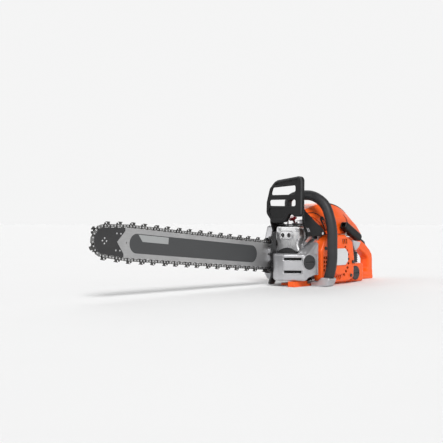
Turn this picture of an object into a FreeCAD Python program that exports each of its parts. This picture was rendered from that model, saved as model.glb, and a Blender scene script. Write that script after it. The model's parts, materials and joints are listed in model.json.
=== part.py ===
"""A petrol chainsaw with a 600 mm guide bar, modelled as an assembly of separate pieces.

Frame: +X towards the rear handle, +Z up, and -Y towards the starter side.
The origin is on the ground, in the cylinder's centre-plane, under the crankcase.
All sizes are millimetres.
"""
import FreeCAD
import Part
import math
import os

# Main axes
CRANK_X = -8.0
CRANK_Z = 70.5
CYLINDER_BORE = 50.0
STROKE = 36.0
ROD_LENGTH = 66.0
GAP = 0.3                    # free space between pieces that move past each other
FIT = 0.05                   # radial play of a shaft in its hole

# Guide bar and chain
BAR_Y = 52.0
BAR_PITCH_DEG = 4.85
BAR_REACH = 714.0            # crank axis to nose axis
BAR_THICK = 4.6
GROOVE_WIDTH = 1.6
GROOVE_DEPTH = 9.0
CHAIN_PITCH = 9.525          # rivet to rivet
CHAIN_JOINTS = 168
RIM_TEETH = 7
NOSE_TEETH = 11
RIVET_TO_RAIL = 4.0
SHOULDER_FROM_NOSE = 70.0
SHOULDER_RADIUS = 38.3
TAIL_FROM_NOSE = 606.0
TAIL_RADIUS = 36.6
BAR_TAIL_X = -50.0
STUD_XS = (-72.0, -104.0)    # bar studs, ahead of the crank axis along the bar
STUD_RADIUS = 4.0
DRIVE_END_RADIUS = 7.5       # the crankshaft's end inside the clutch
SLEEVE_RADIUS = 11.2         # the drum's sleeve, which carries the rim sprocket

# Crankcase
CASE_FRONT_X = -160.0
CASE_REAR_X = 88.0
CASE_BOTTOM_Z = 16.0
CASE_SHELF_Z = 87.0
CASE_DECK_Z = 104.0
CASE_CREST_Z = 126.0
CASE_RIGHT_Y = 46.0
CASE_LEFT_Y = -58.0
FAN_FLOOR_Y = -40.0

# Covers and handles
STARTER_FACE_Y = -84.0
STARTER_SCREW_SPOTS = ((-55, 101), (80, 60), (-40, 19), (70, 23))
BUMPER_SCREW_ZS = (28.0, 50.0)
HANDLE_PLANE_X = -68.0
GRIP_RADIUS = 13.5
TUBE_RADIUS = 10.0
GUARD_X = -128.0
GUARD_PIVOT = (-46.0, 141.0)
REAR_END_X = 305.0


# ---------------------------------------------------------------- helpers

def vec(x, y, z):
    return FreeCAD.Vector(x, y, z)


def block(x, y, z):
    """A box between the low and high values of x, y and z."""
    return Part.makeBox(x[1] - x[0], y[1] - y[0], z[1] - z[0], vec(x[0], y[0], z[0]))


def rod(start, end, radius):
    """A round bar between two points."""
    low = vec(*start)
    along = vec(*end).sub(low)
    return Part.makeCylinder(radius, along.Length, low, along)


def ring(start, end, outer, inner):
    """A round tube between two points."""
    return rod(start, end, outer).cut(rod(start, end, inner))


def disc_y(x, z, low, high, radius):
    """A round bar along Y."""
    return rod((x, low, z), (x, high, z), radius)


def crank_disc(low, high, radius):
    """A round bar on the crank axis."""
    return disc_y(CRANK_X, CRANK_Z, low, high, radius)


def crank_ring(low, high, outer, inner):
    return crank_disc(low, high, outer).cut(crank_disc(low, high, inner))


def join(shapes):
    """One solid made of touching shapes."""
    shapes = list(shapes)
    return shapes[0].multiFuse(shapes[1:]).removeSplitter()


def rounded(points, radius):
    """A closed wire through the points, with every corner rounded as far as its sides allow."""
    count = len(points)
    corners = []
    for index in range(count):
        here = points[index]
        back = points[index - 1].sub(here)
        ahead = points[(index + 1) % count].sub(here)
        room = 0.48 * min(back.Length, ahead.Length)
        back.normalize()
        ahead.normalize()
        half_turn = 0.5 * (math.pi - back.getAngle(ahead))
        if half_turn < 0.01 or radius == 0:
            corners.append((here, None, here))
            continue
        cut = min(radius * math.tan(half_turn), room)
        bulge = cut / math.tan(half_turn) * (1 / math.cos(half_turn) - 1)
        middle = back.add(ahead)
        middle.normalize()
        corners.append((here.add(back * cut), here.add(middle * bulge), here.add(ahead * cut)))
    edges = []
    for index in range(count):
        first, middle, last = corners[index]
        following = corners[(index + 1) % count][0]
        if middle is not None:
            edges.append(Part.Arc(first, middle, last).toShape())
        edges.append(Part.LineSegment(last, following).toShape())
    return Part.Wire(edges)


def placed(plane, level, first, second):
    """The point with two coordinates in a plane and the third at a level."""
    if plane == "XY":
        return vec(first, second, level)
    if plane == "XZ":
        return vec(first, level, second)
    return vec(level, first, second)


def slab(plane, points, low, high, corner=0.0):
    """A plate with a flat outline in a plane, from low to high across it."""
    wire = rounded([placed(plane, low, a, b) for a, b in points], corner)
    return Part.Face(wire).extrude(placed(plane, high - low, 0, 0))


def eased(shape, radius, plane, level):
    """The shape with the edges that lie at a level of the plane's third axis rounded."""
    axis = {"XY": "Z", "XZ": "Y", "YZ": "X"}[plane]
    low_name = axis + "Min"
    high_name = axis + "Max"
    chosen = []
    for edge in shape.Edges:
        box = edge.BoundBox
        if abs(getattr(box, low_name) - level) < 0.01 and abs(getattr(box, high_name) - level) < 0.01:
            chosen.append(edge)
    return shape.makeFillet(radius, chosen)


def soft_slab(plane, points, low, high, corner, edge):
    """A plate whose two outlines are rounded over."""
    return eased(eased(slab(plane, points, low, high, corner), edge, plane, low), edge, plane, high)


def path_edges(points):
    """Straight runs joined by tangent arcs that are as large as the runs allow."""
    points = [vec(*point) for point in points]
    edges = []
    last = points[0]
    for index in range(1, len(points) - 1):
        here = points[index]
        back = points[index - 1].sub(here)
        ahead = points[index + 1].sub(here)
        cut = 0.45 * min(back.Length, ahead.Length)
        back.normalize()
        ahead.normalize()
        half_turn = 0.5 * (math.pi - back.getAngle(ahead))
        bulge = cut / math.tan(half_turn) * (1 / math.cos(half_turn) - 1)
        middle = back.add(ahead)
        middle.normalize()
        arc_start = here.add(back * cut)
        arc_end = here.add(ahead * cut)
        edges.append(Part.LineSegment(last, arc_start).toShape())
        edges.append(Part.Arc(arc_start, here.add(middle * bulge), arc_end).toShape())
        last = arc_end
    edges.append(Part.LineSegment(last, points[-1]).toShape())
    return edges


def tube(points, radius):
    """A round bar along straight runs and tangent arcs."""
    path = Part.Wire(path_edges(points))
    start = vec(*points[0])
    along = vec(*points[1]).sub(start)
    section = Part.Wire(Part.makeCircle(radius, start, along))
    return path.makePipeShell([section], True, True)


def screw(start, axis, length, radius=2.5, head=4.6):
    """A pan-head screw with a hexagonal socket; the axis points out of the head."""
    out = vec(*axis)
    out.normalize()
    seat = vec(*start)
    shank = Part.makeCylinder(radius, length, seat.sub(out * length), out)
    top = Part.makeCylinder(head, 3.2, seat, out)
    top = top.makeFillet(0.8, [edge for edge in top.Edges if edge.Length < 2.1 * math.pi * head][-1:])
    corners = []
    side = out.cross(vec(0.31, 0.17, 0.93))
    side.normalize()
    for index in range(6):
        turn = FreeCAD.Rotation(out, 60.0 * index)
        corners.append(seat.add(out * 1.4).add(turn.multVec(side) * 2.3))
    socket = Part.Face(Part.makePolygon(corners + corners[:1])).extrude(out * 3.0)
    return shank.fuse(top).cut(socket)


def around_crank(shape, angle_deg):
    """A copy of a shape turned about the crank axis."""
    copy = shape.copy()
    copy.rotate(vec(CRANK_X, 0, CRANK_Z), vec(0, 1, 0), angle_deg)
    return copy


def save(name, shapes):
    """Write one node; a list becomes a group of separate solids."""
    if isinstance(shapes, list):
        solids = [solid for shape in shapes for solid in shape.Solids]
        shape = Part.makeCompound(solids)
    else:
        shape = shapes
        solids = shape.Solids
    bad = [index for index, solid in enumerate(solids) if not solid.isValid() or solid.Volume <= 0]
    print(name, "solids", len(solids), "volume", round(sum(solid.Volume for solid in solids)), "bad", bad)
    shape.exportStep("parts/" + name + ".step")


# ---------------------------------------------------------------- bar and chain

def on_bar(shape):
    """Move a shape from the bar's own frame, x along the bar from the crank, to its place."""
    shape.rotate(vec(0, 0, 0), vec(0, 1, 0), BAR_PITCH_DEG)
    shape.translate(vec(CRANK_X, BAR_Y, CRANK_Z))
    return shape


def rivet_radius(teeth):
    """The radius of the chain's rivets round a sprocket, two rivets to each tooth."""
    return CHAIN_PITCH / (2 * math.sin(math.pi / (2 * teeth)))


def belt_circles(inset):
    """The circles that the chain or the rail is stretched round: place along the bar, and radius."""
    return [
        (-BAR_REACH, rivet_radius(NOSE_TEETH) - inset),
        (SHOULDER_FROM_NOSE - BAR_REACH, SHOULDER_RADIUS - inset),
        (TAIL_FROM_NOSE - BAR_REACH, TAIL_RADIUS - inset),
        (0.0, rivet_radius(RIM_TEETH) - inset),
    ]


def belt_tangents(circles):
    """The slope and end points of the upper tangent between each two circles."""
    tangents = []
    for (x1, r1), (x2, r2) in zip(circles, circles[1:]):
        slope = math.asin((r2 - r1) / (x2 - x1))
        start = (x1 - r1 * math.sin(slope), r1 * math.cos(slope))
        end = (x2 - r2 * math.sin(slope), r2 * math.cos(slope))
        tangents.append((slope, start, end))
    return tangents


def chain_points():
    """The rivet centres, equally spaced along the loop from the nose over the top and back."""
    circles = belt_circles(0.0)
    tangents = belt_tangents(circles)
    slopes = [0.5 * math.pi] + [slope for slope, _, _ in tangents] + [-0.5 * math.pi]
    pieces = []
    for index, (x, r) in enumerate(circles):
        pieces.append(("arc", (x, r), slopes[index], slopes[index + 1]))
        if index < len(tangents):
            pieces.append(("line", tangents[index][1], tangents[index][2], None))
    lengths = []
    for kind, first, second, third in pieces:
        if kind == "arc":
            lengths.append(first[1] * (second - third))
        else:
            lengths.append(math.dist(first, second))
    half = sum(lengths)
    step = 2 * half / CHAIN_JOINTS
    print("chain pitch along the loop", round(step, 3))
    points = []
    for joint in range(CHAIN_JOINTS):
        travel = (joint + 0.5) * step
        mirrored = travel > half
        left = 2 * half - travel if mirrored else travel
        for (kind, first, second, third), length in zip(pieces, lengths):
            if left <= length:
                break
            left -= length
        if kind == "arc":
            slope = second - left / first[1]
            x = first[0] - first[1] * math.sin(slope)
            z = first[1] * math.cos(slope)
        else:
            share = left / length
            x = first[0] + share * (second[0] - first[0])
            z = first[1] + share * (second[1] - first[1])
        points.append((x, -z if mirrored else z))
    return points


def link_plate(low, high, half_height, tang=None):
    """A chain plate with two rivet holes; a drive link also has a tang below."""
    end = 3.5
    body = slab("XZ", [(-end, -half_height), (CHAIN_PITCH + end, -half_height),
                       (CHAIN_PITCH + end, half_height), (-end, half_height)], low, high, half_height)
    if tang is not None:
        body = body.fuse(tang)
    for x in (0.0, CHAIN_PITCH):
        body = body.cut(disc_y(x, 0.0, low - 1, high + 1, 1.25))
    return body


def drive_link():
    half = 0.62
    tang = slab("XZ", [(0.2, -1.0), (0.8, -6.0), (3.2, -8.6), (4.6, -8.6), (8.8, -4.4), (9.4, -1.0)],
                -half, half, 0.6)
    return link_plate(-half, half, 3.3, tang)


def strap(side):
    low, high = sorted((side * 0.7, side * 2.2))
    return link_plate(low, high, 3.5)


def cutter(side):
    """A cutter link: side plate, depth gauge ahead of the tooth, and a top plate bent over."""
    low, high = sorted((side * 0.7, side * 2.2))
    plate = slab("XZ", [(-3.3, -2.4), (-2.3, -3.5), (11.8, -3.5), (12.9, -2.2), (13.2, 3.6), (12.7, 8.9),
                        (5.0, 9.3), (6.0, 5.6), (5.0, 3.4), (3.2, 3.6), (1.4, 7.0), (-1.2, 7.3), (-2.9, 3.6)],
                 low, high, 0.7)
    top_low, top_high = sorted((side * -2.4, side * 3.7))
    top = slab("XZ", [(4.6, 7.9), (12.9, 7.5), (12.7, 8.9), (4.2, 9.4)], top_low, top_high)
    body = plate.fuse(top).removeSplitter()
    for x in (0.0, CHAIN_PITCH):
        body = body.cut(disc_y(x, 0.0, -5, 5, 1.25))
    return body


def chain_rivet():
    body = disc_y(0, 0, -2.25, 2.25, 1.2)
    for side in (-1, 1):
        low, high = sorted((side * 2.25, side * 2.9))
        body = body.fuse(disc_y(0, 0, low, high, 1.9))
    return body.removeSplitter()


def make_chain():
    """Drive links alternate with pairs of side links; every second pair holds a cutter."""
    points = chain_points()
    drives, straps, cutters, rivets = [], [], [], []
    drive = drive_link()
    plain = {side: strap(side) for side in (-1, 1)}
    tooth = {side: cutter(side) for side in (-1, 1)}
    pin = chain_rivet()
    for joint, (x, z) in enumerate(points):
        next_x, next_z = points[(joint + 1) % CHAIN_JOINTS]
        lean = -math.degrees(math.atan2(next_z - z, next_x - x))
        spot = FreeCAD.Placement(vec(x, 0, z), FreeCAD.Rotation(vec(0, 1, 0), lean))

        def put(shape, group):
            copy = shape.copy()
            copy.Placement = spot
            group.append(on_bar(copy))

        put(pin, rivets)
        if joint % 2 == 0:
            put(drive, drives)
        elif joint % 4 == 1:
            side = 1 if joint % 8 == 1 else -1
            put(tooth[side], cutters)
            put(plain[-side], straps)
        else:
            put(plain[1], straps)
            put(plain[-1], straps)
    save("chain_drive_links", drives)
    save("chain_straps", straps)
    save("chain_cutters", cutters)
    save("chain_rivets", rivets)


def rail_profile(inset):
    """The bar's outline in its own frame, inset from the rivet line, from tail to nose and back."""
    tangents = belt_tangents(belt_circles(inset))
    trim = inset - RIVET_TO_RAIL
    upper = [(BAR_TAIL_X - trim, 15.0 - 0.5 * trim), (BAR_TAIL_X - 22.0 - trim, 24.0 - trim)]
    upper += [tangents[1][2], tangents[1][1], tangents[0][2], tangents[0][1]]
    return upper + [(x, -z) for x, z in reversed(upper)]


def bar_plate(inset, low, high):
    """The whole bar outline as a plate."""
    nose_radius = rivet_radius(NOSE_TEETH) - inset
    body = slab("XZ", rail_profile(inset), low, high)
    return body.fuse(disc_y(-BAR_REACH, 0, low, high, nose_radius)).removeSplitter()


def nose_zone(slack, low, high):
    """The region ahead of the V joint between the bar's body and its nose plates."""
    nose = -BAR_REACH
    points = [(nose + 60.0 - slack, 60.0), (nose + 60.0 - slack, 26.0), (nose + 37.5 - slack, 0.0),
              (nose + 59.0 - slack, -26.0), (nose + 59.0 - slack, -60.0), (nose - 60.0, -60.0),
              (nose - 60.0, 60.0)]
    return slab("XZ", points, low, high)


def bar_rivet_spots():
    """Rivet centres in the bar's own frame: round the nose bearing, then behind it."""
    nose = -BAR_REACH
    around = [(nose + 6.0 * math.cos(math.radians(a)), 6.0 * math.sin(math.radians(a)))
              for a in (0, 90, 180, 270)]
    behind = [(nose + u, side * 19.0) for u in (35.0, 47.0) for side in (1, -1)]
    return around, behind


def make_bar():
    half = BAR_THICK / 2
    around, behind = bar_rivet_spots()
    nose = -BAR_REACH
    sprocket_room = disc_y(nose, 0, -half - 1, half + 1, 25.6)
    body = bar_plate(RIVET_TO_RAIL, -half, half)
    groove = bar_plate(0.0, -GROOVE_WIDTH / 2, GROOVE_WIDTH / 2)
    groove = groove.cut(bar_plate(RIVET_TO_RAIL + GROOVE_DEPTH, -half, half))
    body = body.cut(groove)
    tongue = body.common(nose_zone(0.0, -GROOVE_WIDTH / 2 + 0.05, GROOVE_WIDTH / 2 - 0.05)).cut(sprocket_room)
    main = body.cut(nose_zone(0.0, -10, 10)).fuse(tongue).removeSplitter()
    main = main.cut(slab("XZ", [(-128.0, -4.6), (-60.0, -4.6), (-60.0, 4.6), (-128.0, 4.6)], -5, 5, 4.5))
    for side in (1, -1):
        main = main.cut(disc_y(-112.0, side * 21.0, -5, 5, 3.6))
    main = main.cut(disc_y(nose + 66.0, 0, -5, 5, 2.0))
    for x, z in behind:
        main = main.cut(disc_y(x, z, -5, 5, 2.5))
    save("guide_bar", on_bar(main))

    plates = []
    for low, high in ((-half, -GROOVE_WIDTH / 2), (GROOVE_WIDTH / 2, half)):
        plate = bar_plate(RIVET_TO_RAIL, low, high).common(nose_zone(0.15, low, high))
        for x, z in around + behind:
            plate = plate.cut(disc_y(x, z, -5, 5, 2.0))
        plates.append(on_bar(plate))
    save("bar_nose_plates", plates)

    rivets = [on_bar(disc_y(x, z, -half - 0.35, half + 0.35, 1.95)) for x, z in around + behind]
    race = disc_y(nose, 0, -0.7, 0.7, 9.0)
    for x, z in around:
        race = race.cut(disc_y(x, z, -5, 5, 2.0))
    save("bar_rivets_and_nose_race", rivets + [on_bar(race)])

    sprocket = disc_y(nose, 0, -0.6, 0.6, 19.0)
    for tooth in range(NOSE_TEETH):
        point = slab("XZ", [(-3.2, 17.0), (3.2, 17.0), (1.2, 23.4), (-1.2, 23.4)], -0.6, 0.6, 0.4)
        point.rotate(vec(0, 0, 0), vec(0, 1, 0), 360.0 * tooth / NOSE_TEETH)
        point.translate(vec(nose, 0, 0))
        sprocket = sprocket.fuse(point)
    sprocket = sprocket.removeSplitter().cut(disc_y(nose, 0, -1, 1, 9.0 + FIT))
    save("nose_sprocket", on_bar(sprocket))


# ---------------------------------------------------------------- crankcase and engine

def case_blank():
    """The outside of both crankcase halves before they are split."""
    front = slab("XY", case_front(0.0), CASE_BOTTOM_Z, CASE_SHELF_Z, 9.0)
    front = eased(front, 5.0, "XY", CASE_SHELF_Z)
    front = eased(front, 5.0, "XY", CASE_BOTTOM_Z)
    middle = block((-100, CASE_REAR_X), (CASE_LEFT_Y, CASE_RIGHT_Y), (CASE_BOTTOM_Z, CASE_SHELF_Z))
    deck = slab("XZ", [(-59.5, 60), (-59.5, CASE_DECK_Z), (50, CASE_DECK_Z), (74, 60)], FAN_FLOOR_Y, 43)
    shroud = slab("XZ", [(-78, 20), (-78, 112), (-66, CASE_CREST_Z), (46, CASE_CREST_Z), (CASE_REAR_X, 96),
                         (CASE_REAR_X, 20)], CASE_LEFT_Y, FAN_FLOOR_Y, 8.0)
    shoulder = slab("XZ", [(-132, 70), (-128, 84), (-73, CASE_CREST_Z - 4), (-73, 70)], -76, -40, 5.0)
    shoulder = eased(shoulder, 6.0, "XZ", -76)
    pad = on_bar(slab("XZ", [(-132, -21), (-56, -21), (-56, 21), (-132, 21)], -11.7, -BAR_THICK / 2, 10.0))
    ears = [block((-54, -38), (40.2, 43.2), (98, 148)), block((-54, -38), (-59.7, -56.0), (122, 148))]
    return join([front, middle, deck, shroud, shoulder, pad] + ears)


def case_front(inset):
    """Plan of the crankcase's front, whose left corner is swept back to the oil filler."""
    return [(-132 + inset, 36 - inset), (CASE_FRONT_X + inset, 10 - 0.4 * inset),
            (CASE_FRONT_X + inset, -23 + 0.4 * inset),
            (-141 + inset, -52 + inset), (-133 + inset, -67 + inset), (-90, -79 + inset), (-78, -79 + inset),
            (-78, 36 - inset)]


def case_hollows():
    """Everything that is open inside the crankcase."""
    bearing = 18.0
    yield crank_disc(-18.5, 18.5, 30.5)
    yield rod((CRANK_X, 0, CRANK_Z), (CRANK_X, 0, CASE_DECK_Z + 1), CYLINDER_BORE / 2 + 2.5)
    yield crank_disc(-33.0, 33.0, bearing)
    yield crank_disc(-39.0, 39.0, 15.0)
    yield crank_disc(CASE_LEFT_Y - 1, CASE_RIGHT_Y + 6, 11.0)
    yield crank_disc(CASE_LEFT_Y - 1, FAN_FLOOR_Y, 56.0)
    yield slab("XY", case_front(9.0), CASE_BOTTOM_Z + 8, CASE_SHELF_Z - 8, 6.0)
    yield block((44, CASE_REAR_X - 6), (-34, 38), (CASE_BOTTOM_Z + 6, CASE_SHELF_Z - 6))
    for x in STUD_XS:
        yield on_bar(disc_y(x, 0, -30.0, 0.0, STUD_RADIUS))
    yield slab("XZ", [(-131, 10), (-118, 24), (-96, 31), (-78, 31), (-60, 10)], -95, -48, 7.0)


def case_grooves():
    """The two long recesses across the swept front-left corner."""
    for low, high in ((68.0, 78.0), (34.0, 44.0)):
        tool = block((-26, 26), (-6, 8), (low, high))
        tool = tool.makeFillet(3.0, [edge for edge in tool.Edges if edge.BoundBox.XLength > 50])
        tool.rotate(vec(0, 0, 0), vec(0, 0, 1), -52.0)
        tool.translate(vec(-149.0, -44.0, 0))
        yield tool


def oil_filler(low, high, radius):
    """A round bar on the oil filler's axis; low and high are measured outwards from the wall."""
    centre = vec(-114.0, -73.0, 65.0)
    out = vec(-0.27, -0.963, 0)
    return Part.makeCylinder(radius, high - low, centre.add(out * low), out)


def make_crankcase():
    blank = case_blank()
    for hollow in case_hollows():
        blank = blank.cut(hollow)
    well = oil_filler(-16.0, 0.0, 22.5).cut(oil_filler(-6.0, 1.0, 19.6))
    blank = blank.cut(oil_filler(-16.0, 12.0, 22.5)).fuse(well)
    for groove in case_grooves():
        blank = blank.cut(groove)
    blank = blank.cut(oil_filler(-34.0, 1.0, 12.0))
    left = blank.common(block((-300, 300), (-300, 0), (-50, 300)))
    right = blank.common(block((-300, 300), (0, 300), (-50, 300)))
    save("crankcase_left", largest(left))
    save("crankcase_right", largest(right))
    cap = oil_filler(-5.7, 1.5, 19.0)
    cap = cap.fuse(oil_filler(-20.0, -5.7, 12.0 - GAP)).removeSplitter()
    slot = oil_filler(-1.0, 3.0, 14.0).common(block((-150, -80), (-110, -50), (62.5, 67.5)))
    save("oil_cap", cap.cut(slot))


def largest(shape):
    """The main solid of a cut, without loose crumbs."""
    return max(shape.Solids, key=lambda solid: solid.Volume)


def make_crank():
    """Full-disc webs, journals and tapered ends in one piece; the big end swings between the webs."""
    shaft = join([
        crank_disc(-17.0, -5.0, 29.0),
        crank_disc(-66.0, -17.0, 8.5),
        crank_disc(-40.5, -17.0, 10.0),
    ])
    drive = join([
        crank_disc(5.0, 17.0, 29.0),
        crank_disc(17.0, 40.5, 10.0),
        crank_disc(17.0, 45.5, 8.5),
        crank_disc(17.0, 78.0, DRIVE_END_RADIUS),
    ])
    save("crankshaft", [shaft, drive])

    bearings = []
    seals = []
    for side in (-1, 1):
        low, high = sorted((side * 19.0, side * 32.5))
        bearings.append(crank_ring(low, high, 18.0, 15.6))
        bearings.append(crank_ring(low, high, 12.4, 10.0 + FIT))
        for ball in range(9):
            sphere = Part.makeSphere(1.55, vec(CRANK_X + 14.0, (low + high) / 2, CRANK_Z))
            bearings.append(around_crank(sphere, 40.0 * ball))
        low, high = sorted((side * 33.2, side * 38.5))
        seals.append(crank_ring(low, high, 15.0, 10.0 + FIT))
    save("crank_bearings_and_seals", bearings + seals)


def make_piston():
    top = CRANK_Z + STROKE / 2 + ROD_LENGTH + 16.0
    pin_z = top - 16.0
    throw_z = pin_z - ROD_LENGTH
    radius = CYLINDER_BORE / 2 - FIT
    body = rod((CRANK_X, 0, top - 34.0), (CRANK_X, 0, top), radius)
    body = body.cut(rod((CRANK_X, 0, top - 35.0), (CRANK_X, 0, top - 5.0), radius - 3.5))
    bosses = disc_y(CRANK_X, pin_z, -22.5, 22.5, 8.5).cut(disc_y(CRANK_X, pin_z, -9, 9, 9))
    body = body.fuse(bosses).removeSplitter().cut(disc_y(CRANK_X, pin_z, -30, 30, 5.5))
    rings = []
    for z in (top - 6.5, top - 3.5):
        groove = ring((CRANK_X, 0, z), (CRANK_X, 0, z + 1.3), radius + 1, radius - 2.2)
        body = body.cut(groove)
        piece = ring((CRANK_X, 0, z + 0.05), (CRANK_X, 0, z + 1.25), radius, radius - 2.1)
        rings.append(piece.cut(block((CRANK_X + 10, CRANK_X + 40), (-0.2, 0.2), (z - 1, z + 3))))
    save("piston", body)
    save("piston_rings", rings)
    wrist_pin = disc_y(CRANK_X, pin_z, -21, 21, 5.5).cut(disc_y(CRANK_X, pin_z, -22, 22, 3.2))
    save("wrist_and_crank_pins", [wrist_pin, disc_y(CRANK_X, throw_z, -4.7, 4.7, 7.0)])

    beam = slab("YZ", [(-3.2, throw_z + 8), (3.2, throw_z + 8), (3.2, pin_z - 5), (-3.2, pin_z - 5)],
                CRANK_X - 5.5, CRANK_X + 5.5)
    rod_body = join([beam, disc_y(CRANK_X, throw_z, -4.6, 4.6, 11.0), disc_y(CRANK_X, pin_z, -4.6, 4.6, 8.2)])
    rod_body = rod_body.cut(disc_y(CRANK_X, throw_z, -9, 9, 7.0)).cut(disc_y(CRANK_X, pin_z, -9, 9, 5.5))
    save("connecting_rod", rod_body)


def make_cylinder():
    """Finned cylinder with its exhaust port ahead and its inlet behind."""
    head_z = CRANK_Z + STROKE / 2 + ROD_LENGTH + 17.5
    parts = [rod((CRANK_X, 0, CASE_DECK_Z), (CRANK_X, 0, head_z + 7), CYLINDER_BORE / 2 + 4.5)]
    parts.append(block((CRANK_X - 32, CRANK_X + 32), (-32, 32), (CASE_DECK_Z, CASE_DECK_Z + 6)))
    for index in range(9):
        z = CASE_DECK_Z + 14.0 + 8.0 * index
        reach = 39.0 if z < head_z - 12 else 33.0
        fin = [(CRANK_X - reach, -reach), (CRANK_X + reach - 4, -reach), (CRANK_X + reach - 4, reach),
               (CRANK_X - reach, reach)]
        parts.append(slab("XY", fin, z, z + 2.2, 12.0))
    parts.append(block((CRANK_X - 50, CRANK_X), (-16, 16), (116, 138)))
    parts.append(block((CRANK_X, CRANK_X + 46), (-16, 16), (122, 146)))
    parts.append(valve_rod(-14.0, 9.0, 8.0))
    body = join(parts)
    body = body.cut(rod((CRANK_X, 0, CASE_DECK_Z - 1), (CRANK_X, 0, head_z), CYLINDER_BORE / 2))
    body = body.cut(rod((CRANK_X - 60, 0, 127), (CRANK_X, 0, 127), 9.0))
    body = body.cut(rod((CRANK_X, 0, 134), (CRANK_X + 60, 0, 134), 9.5))
    body = body.cut(plug_rod(0.0, 80.0, 5.0))
    body = body.cut(plug_rod(11.0, 80.0, 11.0))
    body = body.cut(valve_rod(-16.0, 40.0, 3.0 + FIT))
    save("cylinder", largest(body))


def plug_rod(low, high, radius):
    """A round bar on the spark plug's axis, which leans back from the top of the cylinder."""
    start = vec(CRANK_X + 2, 0, 168)
    out = vec(0.5, 0, 0.866)
    return Part.makeCylinder(radius, high - low, start.add(out * low), out)


def valve_rod(low, high, radius):
    """A round bar on the decompression valve's axis, at the front of the cylinder head."""
    start = vec(-48.0, 21.0, 164.0)
    out = vec(-0.45, 0.1, 0.887)
    return Part.makeCylinder(radius, high - low, start.add(out * low), out)


def make_ignition():
    plug = join([plug_rod(6.4, 11.0, 4.95), plug_rod(11.0, 18.0, 8.0), plug_rod(18.0, 34.0, 4.5),
                 plug_rod(34.0, 38.0, 3.0)])
    save("spark_plug", plug)
    boot = plug_rod(22.0, 44.0, 8.5).cut(plug_rod(18.0, 34.0, 4.5)).cut(plug_rod(34.0, 38.0, 3.0))
    nozzle = rod((36, -6, 202), (38, -24, 198), 5.0)
    lead = tube([(38, -20, 199), (38, -40, 190), (28, -50, 172), (8, -50, 160), (4, -50, 146)], 3.0)
    nozzle = nozzle.cut(plug_rod(18.0, 40.0, 8.0))
    save("plug_lead", largest(join([boot, nozzle, lead])))
    coil = slab("XZ", [(-30, 128.6), (28, 128.6), (28, 139), (10, 146), (-24, 146)], -56, -44, 2.0)
    legs = [block((x, x + 8), (-54, -46), (126.9, 129)) for x in (-26, 18)]
    save("ignition_coil", join([coil] + legs))


def make_flywheel():
    """Fan wheel with curved blades on the starter side and a rim that holds the magnets."""
    wheel = crank_disc(-46.0, FAN_FLOOR_Y - 2.0, 53.0)
    blade = slab("XZ", [(16, -1.4), (34, 2.0), (51.5, 9.0), (50.5, 11.5), (33, 4.6), (16, 1.4)],
                 -60.0, -46.0, 0.8)
    blade.translate(vec(CRANK_X, 0, CRANK_Z))
    parts = [wheel, crank_disc(-62.0, -46.0, 17.0), crank_ring(-52.0, -46.0, 53.0, 49.0)]
    parts += [around_crank(blade, 360.0 / 14 * index) for index in range(14)]
    body = join(parts).cut(crank_disc(-70.0, -30.0, 8.5 + FIT))
    save("flywheel", body)


def make_exhaust():
    """Muffler can with a raised outlet pad, two outlets and a flared skirt below."""
    can = soft_slab("YZ", [(-41, 88.5), (-33, 110), (-38, 128), (-38, 161), (40, 161), (40, 128), (35, 110),
                           (42, 88.5), (20, 95), (-20, 95)], -113, -60, 8.0, 4.0)
    pad = soft_slab("YZ", [(-16, 125), (-16, 147), (22, 147), (22, 125)], -116.5, -108, 10.0, 1.6)
    seam = slab("YZ", [(-39.5, 110), (-39.5, 162.5), (41.5, 162.5), (41.5, 110)], -86.0, -83.5, 9.5)
    flange = block((-60, CRANK_X - 50), (-17, 17), (114, 140))
    body = join([can, pad, seam, flange])
    inside = slab("YZ", [(-29, 98), (-32, 130), (-32, 158.5), (34, 158.5), (34, 130), (31, 98)],
                  -111, -62, 8.0)
    body = body.cut(inside)
    for y in (-7, 14):
        body = body.cut(rod((-120, y, 136), (-100, y, 136), 6.0))
    body = body.cut(rod((-70, 0, 127), (-50, 0, 127), 9.0))
    save("muffler", body)


def make_intake():
    boot_wall = ring((CRANK_X + 46, 0, 134), (60, 0, 134), 15.0, 10.0)
    save("intake_boot", boot_wall)
    carb = join([block((60, 86), (-20, 20), (118, 152)), rod((73, -20, 135), (73, -27, 135), 9.0),
                 block((64, 82), (20, 25), (122, 148))])
    carb = carb.cut(rod((50, 0, 134), (100, 0, 134), 9.0))
    save("carburettor", carb)
    box = soft_slab("XZ", [(92, 130.5), (92, 188), (134, 176), (160, 154), (160, 130.5)], -38, 30, 9.0, 5.0)
    inside = slab("XZ", [(95, 133.5), (95, 184), (132, 173), (157, 152), (157, 133.5)], -35, 27, 7.0)
    inlet = rod((86, 0, 142), (100, 0, 142), 11.0)
    body = box.fuse(inlet).removeSplitter().cut(inside).cut(rod((80, 0, 142), (110, 0, 142), 8.0))
    save("air_filter", body)


# ---------------------------------------------------------------- clutch side

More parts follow.
